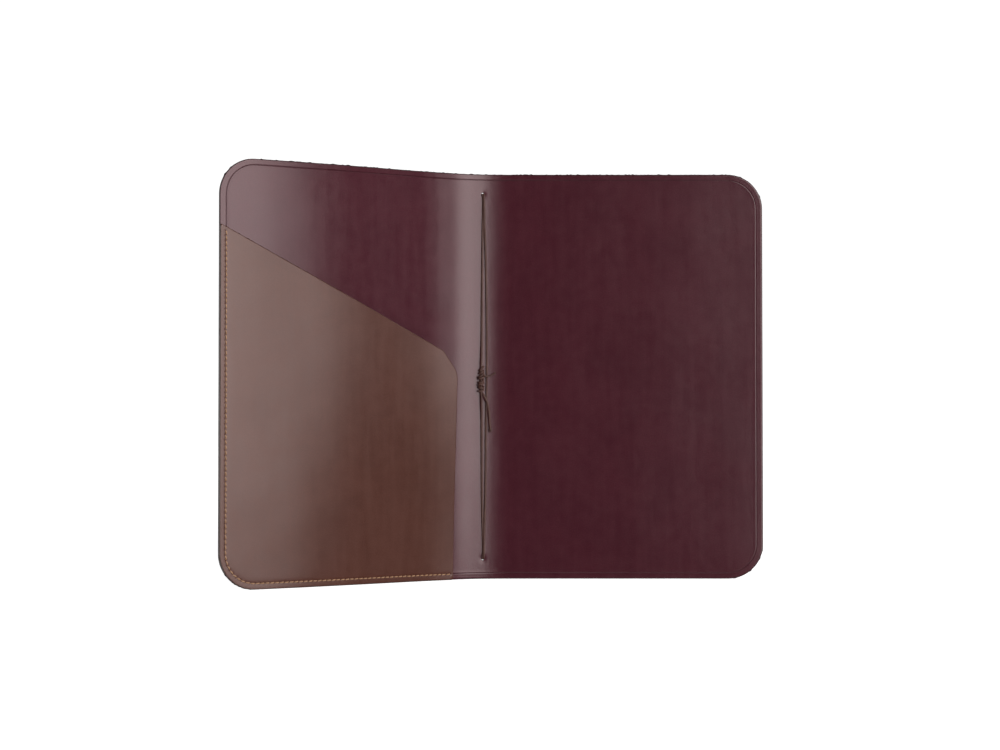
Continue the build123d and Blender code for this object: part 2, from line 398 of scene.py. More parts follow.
def triangulate(loop, holes, points):
    """Triangles over a loop with holes. Returns points, triangles and the rows of the loops' points."""
    loops = [loop] + holes
    rows = []
    first = 0
    for ring in loops:
        rows.append(list(range(first, first + len(ring))))
        first += len(ring)
    everything = np.concatenate(loops + [points])
    edges = [(a, b) for ring in rows for a, b in zip(ring, ring[1:] + ring[:1])]
    scaled = [Vector(p) for p in everything / MM]
    verts, _, faces, sources, _, _ = delaunay_2d_cdt(scaled, edges, [], KEEP_INSIDE, 1e-5)
    where = np.full(len(everything), -1)
    for new, old in enumerate(sources):
        where[old] = new
    flat = np.array([tuple(v) for v in verts]) * MM
    triangles = np.array(faces)
    middles = flat[triangles].mean(axis=1)
    keep = np.ones(len(triangles), bool)
    for hole in holes:
        keep &= ~point_in_loop(hole, middles)
    return flat, triangles[keep], [[where[i] for i in ring] for ring in rows]


def leather_mesh(name, loop, holes, points, inner, outer, marks, cut_at=None):
    """Closed sheet of leather over a loop with holes.

    inner and outer give n on its two faces, and marks gives the distances that its material uses.
    Its wall has one more row of points half-way through, which stands out a little and is rough.
    cut_at is the s of a straight side where the sheet meets its other half.
    """
    flat, triangles, loops = triangulate(loop, holes, points)
    s, z = flat.T
    count = len(flat)
    faces = [tuple(t) for t in triangles]
    faces += [tuple(t[::-1] + count) for t in triangles]
    inner_n, outer_n = inner(s, z), outer(s, z)
    wall_s, wall_z, wall_n = [], [], []
    wall_of = {}
    fibres = np.random.default_rng(len(name))
    for ring in loops:
        ring_points = flat[ring]
        out = ring_points - offset_inwards(ring_points, 1.0)
        stand = (EDGE_BULGE + EDGE_ROUGHNESS * fibres.random(len(ring)) ** 4)[:, None] * out
        if cut_at is not None:
            stand[np.abs(ring_points[:, 0] - cut_at) < TOUCHING] = 0.0
        for row, point in zip(ring, ring_points + stand):
            wall_of[row] = 2 * count + len(wall_s)
            wall_s.append(point[0])
            wall_z.append(point[1])
            wall_n.append((inner_n[row] + outer_n[row]) / 2)
    cut_edges = set()
    for ring in loops:
        for a, b in zip(ring, ring[1:] + ring[:1]):
            middle = (wall_of[a], wall_of[b])
            if cut_at is not None and max(abs(s[a] - cut_at), abs(s[b] - cut_at)) < TOUCHING:
                cut_edges.update([(a, b), (a + count, b + count)])
            faces.append((a, middle[0], middle[1], b))
            faces.append((middle[0], a + count, b + count, middle[1]))
    all_s = np.concatenate([s, s, wall_s])
    all_z = np.concatenate([z, z, wall_z])
    all_n = np.concatenate([inner_n, outer_n, wall_n])
    mesh = bpy.data.meshes.new(name)
    mesh.from_pydata(place(all_s, all_n, all_z).tolist(), [], faces)
    mesh.shade_smooth()
    side = np.concatenate([np.zeros(count), np.full(count, OUTER_FACE_OFFSET), np.zeros(len(wall_s))])
    add_uv(mesh, "flat", np.stack([all_s, all_z + side], axis=1))
    add_uv(mesh, "marks", np.stack(marks(all_s, all_z), axis=1))
    if cut_edges:
        wanted = {tuple(sorted(edge)) for edge in cut_edges}
        for edge in mesh.edges:
            if tuple(sorted(edge.vertices)) in wanted:
                edge.use_edge_sharp = True
    return mesh


# ---------------------------------------------------------------- cover

# Rows of points inside the edge, beside the creased line and round the holes
EDGE_STEPS = np.array([0.0, 0.03, 0.09, 0.19, 0.34, 0.8]) * MM
CREASE_STEPS = np.array([-3.6, -2.6, -1.7, -1.0, -0.5, 0.0, 0.5, 1.0, 1.7, 2.6, 3.6]) * CREASE_WIDTH
HOLE_STEPS = np.array([0.0, 0.05, 0.13, 0.26, 0.5, 0.95]) * MM

# Spacing of points along those rows, along the flat and the bent leather, and up it
RING_SPACING = 0.6 * MM
FLAT_SPACING = 1.25 * MM
BENT_SPACING = 0.5 * MM
UP_SPACING = 1.4 * MM
LAST_COLUMN = 95.6 * MM
CORNER_STEPS = 25
HOLE_STEPS_ROUND = 28
SPLIT_MARGIN = 0.12 * MM


def cover_ring(side, half_width, half_height, radius):
    """Line round one half of the cover, from the split at the top to the split at the bottom."""
    top, bottom = HEIGHT / 2 + half_height, HEIGHT / 2 - half_height
    corner = side * (half_width - radius)
    points = [(s, top) for s in spaced(SPLIT, corner, RING_SPACING)[:-1]]
    for angle in np.linspace(0, pi / 2, CORNER_STEPS + 1)[:-1]:
        points.append((corner + side * radius * sin(angle), top - radius + radius * cos(angle)))
    points += [(side * half_width, z) for z in spaced(top - radius, bottom + radius, RING_SPACING)[:-1]]
    for angle in np.linspace(0, pi / 2, CORNER_STEPS + 1)[:-1]:
        points.append((corner + side * radius * cos(angle), bottom + radius - radius * sin(angle)))
    points += [(s, bottom) for s in spaced(corner, SPLIT, RING_SPACING)]
    return np.array(points)


def cover_columns(side):
    """Places along the leather of the columns of points, closest where it bends."""
    if side < 0:
        runs = [spaced(-LAST_COLUMN, -17.0 * MM, FLAT_SPACING), spaced(-16.4 * MM, 1.3 * MM, BENT_SPACING)]
        near_split = [SPLIT - SPLIT_MARGIN, SPLIT]
    else:
        runs = [spaced(2.3 * MM, 11.0 * MM, BENT_SPACING), spaced(12.0 * MM, LAST_COLUMN, FLAT_SPACING)]
        near_split = [SPLIT, SPLIT + SPLIT_MARGIN]
    return np.concatenate(runs + [near_split])


def cover_points(side):
    """Outline, holes and inner points of one half of the cover."""
    outline = cover_ring(side, PANEL_WIDTH, HEIGHT / 2, CORNER_RADIUS)
    insets = [(step, step) for step in EDGE_STEPS[1:]]
    insets += [(CREASE_INSET_SIDES + step, CREASE_INSET_ENDS + step) for step in CREASE_STEPS]
    rings = []
    for at_side, at_end in insets:
        rings.append(cover_ring(side, PANEL_WIDTH - at_side, HEIGHT / 2 - at_end, CORNER_RADIUS - at_end))
    inner = grid(cover_columns(side), spaced(2.0 * MM, HEIGHT - 2.0 * MM, UP_SPACING))
    s, z = inner.T
    clear = crease_distance(s, z) > CREASE_STEPS[-1] + 0.3 * MM
    circles = []
    if side < 0:
        clear &= hole_distance(s, z) > HOLE_STEPS[-1] + 0.15 * MM
        around = np.linspace(0, 2 * pi, HOLE_STEPS_ROUND + 1)[:-1]
        for hole, out in zip(HOLES, (-1, 1)):
            for step in HOLE_STEPS:
                reach = out * (hole_reach(around) + step)
                circles.append(np.stack([-reach * np.sin(around), hole + reach * np.cos(around)], axis=1))
    split_ends = [ring[[0, -1]] for ring in rings]
    on_split = np.abs(s - SPLIT) < TOUCHING
    split = np.concatenate(split_ends + [inner[clear & on_split]])
    split = split[np.argsort(split[:, 1])]
    if side > 0:
        outline = outline[::-1]
        split = split[::-1]
    loop = np.concatenate([outline, split])
    rings = [ring[1:-1] for ring in rings]
    inside = inner[clear & ~on_split]
    hole_loops = circles[:: len(HOLE_STEPS)]
    others = [c for i, c in enumerate(circles) if i % len(HOLE_STEPS)]
    return loop, [h[::-1] for h in hole_loops], np.concatenate(rings + others + [inside])


def cover_edge(s, z):
    """Distance in from the cover's edge, or from just inside a hole, whose rim is rounded and dyed less."""
    return np.minimum(cover_inset(s, z), hole_distance(s, z) + HOLE_SHARPNESS)


def cover_marks(s, z):
    """Distances to the edge and to the creased line."""
    return np.maximum(cover_edge(s, z), 0.0), crease_distance(s, z)


def hole_pull(s, z):
    """Dimple where the cord pulls the leather round a hole in."""
    return HOLE_DIMPLE * bump_line(hole_distance(s, z), HOLE_DIMPLE_WIDTH)


def cover_drop(s, z):
    """How far both faces of the cover lie inside the plain sheet, at its edges and the creased line."""
    return edge_drop(cover_edge(s, z), EDGE_ROUNDING) + crease_drop(s, z)


def cover_inner(s, z):
    """n of the cover's inner face."""
    return waves(s, z) - cover_drop(s, z) - hole_pull(s, z)


def cover_outer(s, z):
    """n of the cover's outer face."""
    return waves(s, z) - THICKNESS + cover_drop(s, z) + seam_drop(s, z) + hole_pull(s, z)


def build_cover_half(name, side, material, node_names):
    """One half of the cover, curved where the leather turns."""
    loop, holes, points = cover_points(side)
    mesh = leather_mesh(name, loop, holes, points, cover_inner, cover_outer, cover_marks, SPLIT)
    half = add_object(name, mesh, material)
    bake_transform(half)
    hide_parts(*node_names)


# ---------------------------------------------------------------- pocket

POCKET_OUTLINE = fillet(POCKET_CORNERS, POCKET_RADII, 0.6) * MM
POCKET_ROUNDING = 0.2 * MM
POCKET_BACK_ROUNDING = 0.12 * MM
FREE_EDGE_MARGIN = 0.42 * MM

# Rows of points inside the pocket's edge and beside its seam
POCKET_EDGE_STEPS = np.array([0.03, 0.09, 0.18, 0.32, 0.7]) * MM
SEAM_STEPS = np.array([-0.75, -0.45, -0.2, 0.0, 0.2, 0.45, 0.75]) * MM
SEAM_CLEARANCE = 1.1 * MM


def pocket_lift(s, z):
    """How far the pocket stands off the panel towards its free corner."""
    return POCKET_LIFT * smoothstep(*LIFT_ACROSS, s) * smoothstep(*LIFT_UP, z)


def pocket_points():
    """Inner points of the pocket."""
    rings = []
    for step in POCKET_EDGE_STEPS:
        ring = offset_inwards(POCKET_OUTLINE, step)
        # Round the tight corners the moved line crosses itself, and comes too near the edge
        rings.append(ring[distance_to_loop(POCKET_OUTLINE, ring) > step * 0.97])
    seam = []
    for distance in np.arange(0.0, seam_distances()[-1] + STITCH_PITCH / 2, STITCH_PITCH / 4):
        s, z, (step_s, step_z) = seam_place(distance)
        seam.extend((s - step_z * d, z + step_s * d) for d in SEAM_STEPS)
    inner = grid(spaced(-96.0 * MM, -10.0 * MM, 1.2 * MM), spaced(1.0 * MM, 118.0 * MM, 1.3 * MM))
    s, z = inner.T
    from_seam = np.abs(cover_inset(s, z) - SEAM_INSET)
    seam_clear = (from_seam > SEAM_CLEARANCE) | (z > SEAM_TOP + 1.0 * MM)
    edge_clear = distance_to_loop(POCKET_OUTLINE, inner) > POCKET_EDGE_STEPS[-1] + 0.25 * MM
    clear = point_in_loop(POCKET_OUTLINE, inner) & seam_clear & edge_clear
    return np.concatenate(rings + [np.array(seam), inner[clear]])


def pocket_inset(s, z):
    """Distance in from the pocket's edge."""
    return distance_to_loop(POCKET_OUTLINE, np.stack([s, z], axis=1))


def pocket_under(s, z):
    """n of the pocket's hidden face before its edges are rounded."""
    return waves(s, z) + POCKET_GAP + pocket_lift(s, z)


def pocket_outer(s, z):
    """n of the pocket's hidden face."""
    return pocket_under(s, z) + edge_drop(pocket_inset(s, z), POCKET_BACK_ROUNDING)


def pocket_inner(s, z):
    """n of the pocket's face that shows."""
    top = pocket_under(s, z) + POCKET_THICKNESS
    return top - edge_drop(pocket_inset(s, z), POCKET_ROUNDING) - seam_drop(s, z)


def pocket_marks(s, z):
    """Distances to the pocket's edge and to the seam. Free edges count as farther, so they stay lighter."""
    free = FREE_EDGE_MARGIN * smoothstep(0.2 * MM, 0.6 * MM, cover_inset(s, z))
    return pocket_inset(s, z) + free, cover_inset(s, z) - SEAM_INSET


def build_pocket(material):
    """The pocket, sewn down at its left and bottom edges."""
    name = "pocket_leather"
    mesh = leather_mesh(name, POCKET_OUTLINE, [], pocket_points(), pocket_inner, pocket_outer, pocket_marks)
    pocket = add_object(name, mesh, material)
    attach(pocket, "front_panel")
    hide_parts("pocket")


# ---------------------------------------------------------------- tubes for cord and thread

NOT_ALONG_ANY_TUBE = (0.31, 0.17, 0.93)


class Tubes:
    """Collects round tubes with a twist, and makes one mesh of them."""

    def __init__(self):
        self.points = []
        self.faces = []
        self.uvs = []
        self.count = 0

    def add(self, path, radii, sides=12, plies=3, twist=CORD_TWIST, depth=0.14, closed=False):
        """Add a tube along path.

        Its plies wind round once in each length of twist, and depth is how deep the grooves between
        them are, as a share of the radius.
        """
        path = np.asarray(path, float)
        radii = np.broadcast_to(np.asarray(radii, float), (len(path),))
        if closed:
            ahead = np.roll(path, -1, axis=0) - np.roll(path, 1, axis=0)
        else:
            ahead = np.gradient(path, axis=0)
        ahead = ahead / np.linalg.norm(ahead, axis=1)[:, None]
        lengths = np.concatenate([[0.0], np.cumsum(np.linalg.norm(np.diff(path, axis=0), axis=1))])
        side = np.cross(ahead[0], NOT_ALONG_ANY_TUBE)
        side = side / np.linalg.norm(side)
        sides_at = []
        for direction in ahead:
            side = side - direction * (side @ direction)
            side = side / np.linalg.norm(side)
            sides_at.append(side)
        sides_at = np.array(sides_at)
        ups = np.cross(ahead, sides_at)
        around = np.arange(sides) * 2 * pi / sides
        phase = plies * (around[None, :] - 2 * pi * lengths[:, None] / twist)
        radius = radii[:, None] * (1 - depth * (0.5 - 0.5 * np.cos(phase)))
        ring = np.cos(around)[None, :, None] * sides_at[:, None, :]
        ring = ring + np.sin(around)[None, :, None] * ups[:, None, :]
        self.points.append((path[:, None, :] + radius[:, :, None] * ring).reshape(-1, 3))
        first = self.count
        rows = len(path)
        for i in range(rows if closed else rows - 1):
            j = (i + 1) % rows
            v0 = lengths[i]
            v1 = lengths[j] if j else lengths[-1] + np.linalg.norm(path[0] - path[-1])
            here, there = first + i * sides, first + j * sides
            for k in range(sides):
                m = (k + 1) % sides
                self.faces.append((here + k, here + m, there + m, there + k))
                u0, u1 = k / sides, (k + 1) / sides
                self.uvs.extend([(u0, v0 / twist), (u1, v0 / twist), (u1, v1 / twist), (u0, v1 / twist)])
        self.count += rows * sides
        if not closed:
            self.faces.append(tuple(first + k for k in reversed(range(sides))))
            self.faces.append(tuple(first + (rows - 1) * sides + k for k in range(sides)))
            self.uvs.extend([(k / sides, 0.0) for k in reversed(range(sides))])
            self.uvs.extend([(k / sides, lengths[-1] / twist) for k in range(sides)])

    def build(self, name, material):
        """Make the mesh and put it in the scene."""
        mesh = bpy.data.meshes.new(name)
        mesh.from_pydata(np.concatenate(self.points).tolist(), [], self.faces)
        layer = mesh.uv_layers.new(name="along")
        layer.data.foreach_set("uv", np.array(self.uvs, np.float32).ravel())
        mesh.shade_smooth()
        return add_object(name, mesh, material)


def spline_points(points, closed=False, spacing=0.2 * MM):
    """Evenly spaced points along a smooth NURBS line with these control points."""
    curve = bpy.data.curves.new("route", "CURVE")
    curve.dimensions = "3D"
    spline = curve.splines.new("NURBS")
    spline.points.add(len(points) - 1)
    for point, target in zip(spline.points, points):
        point.co = (*target, 1.0)
    spline.order_u = 3
    spline.use_cyclic_u = closed
    spline.use_endpoint_u = not closed
    spline.resolution_u = 24
    line = bpy.data.objects.new("route", curve)
    mesh = bpy.data.meshes.new_from_object(line)
    found = np.array([v.co for v in mesh.vertices], float)
    bpy.data.objects.remove(line)
    bpy.data.meshes.remove(mesh)
    bpy.data.curves.remove(curve)
    if closed:
        found = np.concatenate([found, found[:1]])
    lengths = np.concatenate([[0.0], np.cumsum(np.linalg.norm(np.diff(found, axis=0), axis=1))])
    steps = np.linspace(0, lengths[-1], int(lengths[-1] / spacing) + 1)
    even = np.stack([np.interp(steps, lengths, found[:, k]) for k in range(3)], axis=1)
    return even[:-1] if closed else even


# ---------------------------------------------------------------- stitches

def build_stitches(name, node, material, level, facing):
    """Separate stitches along the seam, each diving into its two needle holes."""
    tubes = Tubes()
    t = np.linspace(-1, 1, 11)
    for index, distance in enumerate(seam_distances()):
        s, z, (step_s, step_z) = seam_place(distance)
        lean = STITCH_LEAN + STITCH_LEAN_SPREAD * sin(index * 2.4)
        reach = STITCH_LENGTH / 2 * t
        across = lean * t
        path_s = s + step_s * reach - step_z * across
        path_z = z + step_z * reach + step_s * across
        rise = STITCH_RADIUS * (0.8 - 0.5 * t**2 - 1.3 * t**4) + STITCH_RISE_SPREAD * sin(index * 1.7)
        path = place(path_s, level(path_s, path_z) + facing * rise, path_z)
        radii = STITCH_RADIUS * (1 - 0.25 * t**4)
        tubes.add(path, radii, sides=10, plies=2, twist=1.1 * MM, depth=0.2)
    stitches = tubes.build(name, material)
    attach(stitches, "front_panel")
    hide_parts(node)


def seam_level_inside(s, z):
    """n of the pocket's face beside the seam."""
    return pocket_under(s, z) + POCKET_THICKNESS - SEAM_VALLEY


def seam_level_outside(s, z):
    """n of the cover's outer face beside the seam."""
    return waves(s, z) - THICKNESS + SEAM_VALLEY


# ---------------------------------------------------------------- cord

def beside_holes(points):
    """Points given as (s, n, z) in millimetres, in the flat plane that touches the leather at the holes."""
    base = Vector(place(0.0, 0.0, 0.0))
    turn = float(turn_at(0.0))
    along = Vector((cos(turn), sin(turn), 0))
    inward = Vector((sin(turn), -cos(turn), 0))
    return [base + along * s * MM + inward * n * MM + Vector((0, 0, z * MM)) for s, n, z in points]


# Routes as (s, n, z) in millimetres. The cord presses on the side of each hole nearer the wallet's middle.
BOTTOM, TOP = HOLES[0] / MM + 0.22, HOLES[1] / MM - 0.22
OUTSIDE = -(THICKNESS + CORD_LIFT) / MM
RIGHT_LOOP = [
    (0.26, -0.6, TOP), (0.3, 0.3, TOP + 0.03), (0.34, 0.85, TOP - 0.8), (0.36, 0.95, TOP - 3),
    (0.45, 0.8, TOP - 8), (0.7, 0.46, TOP - 14), (1.05, 0.42, TOP - 24), (1.32, 0.42, 92), (1.38, 0.44, 76),
    (1.32, 0.44, 66), (1.08, 0.42, 56), (1.02, 0.42, 46), (0.9, 0.42, BOTTOM + 24),
    (0.66, 0.45, BOTTOM + 14), (0.4, 0.75, BOTTOM + 8), (0.3, 0.95, BOTTOM + 3),
    (0.28, 0.85, BOTTOM + 0.8), (0.28, 0.3, BOTTOM - 0.03), (0.26, -0.6, BOTTOM),
    (0.32, -1.4, BOTTOM - 0.05), (0.4, OUTSIDE, BOTTOM + 0.5), (0.4, OUTSIDE, BOTTOM + 3),
    (0.42, OUTSIDE, 40), (0.42, OUTSIDE, 70), (0.42, OUTSIDE, 100),
    (0.4, OUTSIDE, TOP - 3), (0.4, OUTSIDE, TOP - 0.5), (0.32, -1.4, TOP + 0.05),
]
LEFT_LOOP = [
    (-0.3, -0.6, TOP), (-0.22, 0.2, TOP + 0.03), (0.02, 0.42, TOP - 0.6), (0.08, 0.38, TOP - 3),
    (0.02, 0.38, TOP - 8), (-0.14, 0.38, TOP - 14), (-0.3, 0.4, 104), (-0.38, 0.44, 92), (-0.42, 0.6, 82),
    (-0.6, 1.3, 75), (-0.75, 1.35, 69), (-0.75, 1.35, 66), (-0.6, 1.2, 62), (-0.44, 0.6, 55),
    (-0.42, 0.44, 44), (-0.38, 0.4, 32), (-0.2, 0.38, BOTTOM + 14), (0.0, 0.38, BOTTOM + 8),
    (0.06, 0.38, BOTTOM + 3), (0.02, 0.42, BOTTOM + 0.6), (-0.22, 0.2, BOTTOM - 0.03),
    (-0.3, -0.6, BOTTOM), (-0.34, -1.4, BOTTOM - 0.05), (-0.4, OUTSIDE, BOTTOM + 0.5),
    (-0.4, OUTSIDE, BOTTOM + 3), (-0.42, OUTSIDE, 40), (-0.42, OUTSIDE, 70), (-0.42, OUTSIDE, 100),
    (-0.4, OUTSIDE, TOP - 3), (-0.4, OUTSIDE, TOP - 0.5), (-0.34, -1.4, TOP + 0.05),
]
KNOT_AXIS = (-0.75, 1.35)
KNOT_TOP, KNOT_BOTTOM = 73.0, 64.6
KNOT_TURNS = 8
KNOT_COIL_RADIUS = 0.78
FIBRE_RADIUS = 0.085 * MM
GOLDEN_ANGLE = 2.39996
SHORT_TAIL = [(4.25, 1.6, 71.1), (3.2, 1.5, 70.6), (2.1, 1.42, 70.0), (1.2, 1.4, 69.8), (0.3, 1.5, 70.1)]
LONG_TAIL = [
    (0.1, 2.1, 63.4), (0.75, 2.0, 62.1), (1.55, 1.8, 60.6),
    (2.05, 1.35, 57.0), (2.25, 1.15, 54.2), (2.45, 1.0, 51.6),
]


def knot_turns():
    """Turns of cord wound down round the left strand, a little uneven."""
    points = []
    per_turn = 12
    for step in range(KNOT_TURNS * per_turn + 1):
        share = step / (KNOT_TURNS * per_turn)
        angle = 2 * pi * step / per_turn
        # The knot widens over its first third and narrows a little over its last quarter
        widened = min(1.0, 3.2 * share)
        bulge = 0.62 + 0.42 * widened - 0.1 * max(0.0, 4 * share - 3)
        radius = KNOT_COIL_RADIUS * (bulge + 0.07 * sin(angle * 0.37 + 1))
        s = KNOT_AXIS[0] + 0.25 * (1 - widened) + radius * sin(angle)
        n = KNOT_AXIS[1] - 0.9 * radius * cos(angle)
        tilt = 0.34 * sin(angle + 2.4 * share)
        z = KNOT_TOP + (KNOT_BOTTOM - KNOT_TOP) * share + 0.22 * sin(angle * 0.61) + tilt
        points.append((s, n, z))
    return points


def add_fray(tubes, tip, direction, count, length, spread):
    """Loose fibres at a cut end of the cord."""
    direction = direction / np.linalg.norm(direction)
    side = np.cross(direction, [0.2, 1.0, 0.1])
    side = side / np.linalg.norm(side)
    up = np.cross(direction, side)
    for k in range(count):
        angle = k * GOLDEN_ANGLE
        out = (k + 0.5) / count
        radial = side * cos(angle) + up * sin(angle)
        start = tip + radial * CORD_RADIUS * 0.75 * out**0.5 - direction * 0.5 * MM
        reach = length * (0.65 + 0.35 * sin(k * 4.1))
        t = np.linspace(0, 1, 7)[:, None]
        line = start + direction * reach * t + radial * spread * out * t**2
        radii = FIBRE_RADIUS * (1 - 0.5 * t[:, 0])
        tubes.add(line, radii, sides=6, plies=1, depth=0.0)


def finish_cord(piece, nodes):
    """Fix a piece of the cord to the spine."""
    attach(piece, "spine")
    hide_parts(*nodes)


def build_cord(material):
    """The spine cord: two loops through the holes, and the knot with its tails."""
    right_nodes = ("cord_right_strand", "cord_outer_strand_right")
    left_nodes = ("cord_left_strand_upper", "cord_left_strand_lower", "cord_outer_strand_left")
    loops = (("cord_right_loop", RIGHT_LOOP, right_nodes), ("cord_left_loop", LEFT_LOOP, left_nodes))
    for name, route, nodes in loops:
        tubes = Tubes()
        tubes.add(spline_points(beside_holes(route), closed=True), CORD_RADIUS, closed=True)
        finish_cord(tubes.build(name, material), nodes)
    tubes = Tubes()
    route = SHORT_TAIL + knot_turns() + LONG_TAIL
    path = spline_points(beside_holes(route), spacing=0.12 * MM)
    from_tip = np.linspace(0.0, 1.0, len(path))
    # The short tail thins towards its cut end
    tubes.add(path, CORD_RADIUS * (0.72 + 0.25 * smoothstep(0.02, 0.09, from_tip)))
    add_fray(tubes, path[-1], path[-1] - path[-6], 22, 1.5 * MM, 0.6 * MM)
    add_fray(tubes, path[0], path[0] - path[5], 10, 0.5 * MM, 0.3 * MM)
    knot = tubes.build("cord_knot_and_tails", material)
    finish_cord(knot, ("cord_knot", "cord_short_tail", "cord_long_tail"))


# ---------------------------------------------------------------- materials

class Nodes:
    """Short calls for building one material's node tree."""

    def __init__(self, name):
        self.material = bpy.data.materials.new(name)
        self.material.use_nodes = True
        self.tree = self.material.node_tree
        self.shader = self.tree.nodes["Principled BSDF"]

    def new(self, kind, inputs=None, **settings):
        """Add a node, set its properties, and set or link its inputs."""
        node = self.tree.nodes.new(kind)
        for key, value in settings.items():
            setattr(node, key, value)
        for key, value in (inputs or {}).items():
            self.feed(node.inputs[key], value)
        return node

    def feed(self, socket, value):
        """Link an output to a socket, or set the socket's own value."""
        if isinstance(value, bpy.types.NodeSocket):
            self.tree.links.new(value, socket)
        else:
            socket.default_value = value

    def math(self, operation, first, second=0.0):
        """Result of one Math node."""
        return self.new("ShaderNodeMath", {0: first, 1: second}, operation=operation).outputs[0]

    def uv(self, name, scale=(1.0, 1.0, 1.0)):
        """A named UV map's vector, scaled."""
        source = self.new("ShaderNodeUVMap", uv_map=name).outputs[0]
        return self.new("ShaderNodeVectorMath", {0: source, 1: scale}, operation="MULTIPLY").outputs[0]

    def noise(self, vector, scale, detail=3.0, roughness=0.5, distortion=0.0):
        """Noise from 0 to 1."""
        inputs = {"Vector": vector, "Scale": scale, "Detail": detail}
        inputs.update({"Roughness": roughness, "Distortion": distortion})
        return self.new("ShaderNodeTexNoise", inputs).outputs[0]

    def ramp(self, factor, low, high, start=0.0, end=1.0):
        """Map factor from (low, high) to (start, end), smoothly and clamped."""
        inputs = {"Value": factor, "From Min": low, "From Max": high, "To Min": start, "To Max": end}
        return self.new("ShaderNodeMapRange", inputs, interpolation_type="SMOOTHSTEP").outputs[0]

    def mix(self, factor, first, second, blend="MIX"):
        """Mix of two colours."""
        node = self.new("ShaderNodeMix", data_type="RGBA", blend_type=blend)
        colours = [socket for socket in node.inputs if socket.type == "RGBA"]
        self.feed(node.inputs[0], factor)
        self.feed(colours[0], first)
        self.feed(colours[1], second)
        return [socket for socket in node.outputs if socket.type == "RGBA"][0]

    def bump(self, height, distance, strength=1.0, normal=None):
        """Normal bent by height, where 1 is distance metres high."""
        node = self.new("ShaderNodeBump", {"Height": height, "Distance": distance, "Strength": strength})
        if normal:
            self.feed(node.inputs["Normal"], normal)
        return node.outputs[0]


def leather_material(name, dark, light, edge, groove_dirt_and_shade, roughness, tint):
    """Waxed satin leather: cloudy brushed dye, fine grain, burnished edges and a pressed line darkened by
    painted shade and dirt.

    dark, light and edge are dye colours, groove_dirt_and_shade is how far painted shade and dirt darken
    the pressed line, and tint colours the mirrored light.
    """
    nodes = Nodes(name)
    flat = nodes.uv("flat")
    marks = nodes.new("ShaderNodeSeparateXYZ", {0: nodes.uv("marks", (1 / MM, 1 / MM, 1.0))})
    from_edge, from_line = marks.outputs[0], nodes.math("ABSOLUTE", marks.outputs[1])
    along = nodes.new("ShaderNodeSeparateXYZ", {0: nodes.uv("flat", (1 / MM, 1.0, 1.0))}).outputs[0]

    # Patterns, from cloudy dye down to single pores. Their scales count repeats in each metre.
    clouds = nodes.noise(flat, 48.0, detail=3.0, roughness=0.55, distortion=0.6)
    mottle = nodes.noise(flat, 260.0, detail=4.0, roughness=0.6)
    strokes = nodes.noise(nodes.uv("flat", (1.0, 0.09, 1.0)), 420.0, detail=3.0)
    pores = nodes.noise(flat, 2400.0, detail=2.0, roughness=0.6)
    cells = nodes.new("ShaderNodeTexVoronoi", {"Vector": flat, "Scale": 1250.0}, feature="SMOOTH_F1")
    cells.inputs["Smoothness"].default_value = 0.6
    grain = cells.outputs["Distance"]

    # Colour
    tone = nodes.math("ADD", nodes.math("MULTIPLY", clouds, 0.45), nodes.math("MULTIPLY", mottle, 0.3))
    tone = nodes.math("ADD", tone, nodes.math("MULTIPLY", strokes, 0.25))
    colour = nodes.mix(nodes.ramp(tone, 0.34, 0.66), dark, light)
    speckle = nodes.ramp(pores, 0.35, 0.75, 0.9, 1.07)
    speckle = nodes.new("ShaderNodeCombineColor", {0: speckle, 1: speckle, 2: speckle}).outputs[0]
    colour = nodes.mix(1.0, colour, speckle, "MULTIPLY")
    # Painted shade and dirt darken the pressed line: the crease on the cover, the seam on the pocket
    line = nodes.ramp(from_line, 0.1, 0.34, groove_dirt_and_shade, 0.0)
    colour = nodes.mix(line, colour, edge)
    burnish = nodes.ramp(from_edge, 0.05, 0.45, 1.0, 0.0)
    colour = nodes.mix(burnish, colour, edge)

    # Grain, and fine wrinkles where the spine bends
    height = nodes.math("ADD", nodes.math("MULTIPLY", grain, 0.6), nodes.math("MULTIPLY", pores, 0.4))
    flexed = nodes.ramp(nodes.math("ABSOLUTE", nodes.math("ADD", along, 4.0)), 3.0, 11.0, 1.0, 0.0)
    wrinkles = nodes.noise(nodes.uv("flat", (1.0, 0.55, 1.0)), 1100.0, detail=3.0, roughness=0.55)
    normal = nodes.bump(height, 0.006 * MM)
    normal = nodes.bump(mottle, 0.008 * MM, normal=normal)
    normal = nodes.bump(nodes.math("MULTIPLY", wrinkles, flexed), 0.016 * MM, normal=normal)

    # Shine, broken up a little and dull at the burnished edges
    rough = nodes.ramp(mottle, 0.3, 0.7, roughness - 0.012, roughness + 0.012)
    rough = nodes.math("ADD", rough, nodes.ramp(strokes, 0.3, 0.7, -0.01, 0.01))
    rough = nodes.math("ADD", rough, nodes.math("MULTIPLY", burnish, 0.12))

    nodes.feed(nodes.shader.inputs["Base Color"], colour)
    nodes.feed(nodes.shader.inputs["Roughness"], rough)
    nodes.feed(nodes.shader.inputs["Normal"], normal)
    nodes.shader.inputs["IOR"].default_value = 1.5
    nodes.shader.inputs["Specular Tint"].default_value = tint
    return nodes.material


def thread_material():
    """Waxed tan thread with fine fibres."""
    nodes = Nodes("thread")
    along = nodes.uv("along", (6.0, 2.0, 1.0))
    fibres = nodes.noise(along, 3.0, detail=3.0)
    colour = nodes.mix(fibres, (0.24, 0.11, 0.05, 1), (0.62, 0.37, 0.21, 1))
    nodes.feed(nodes.shader.inputs["Base Color"], colour)
    nodes.feed(nodes.shader.inputs["Roughness"], nodes.ramp(fibres, 0.2, 0.8, 0.36, 0.5))
    nodes.feed(nodes.shader.inputs["Normal"], nodes.bump(fibres, 0.02 * MM, 0.6))
    return nodes.material


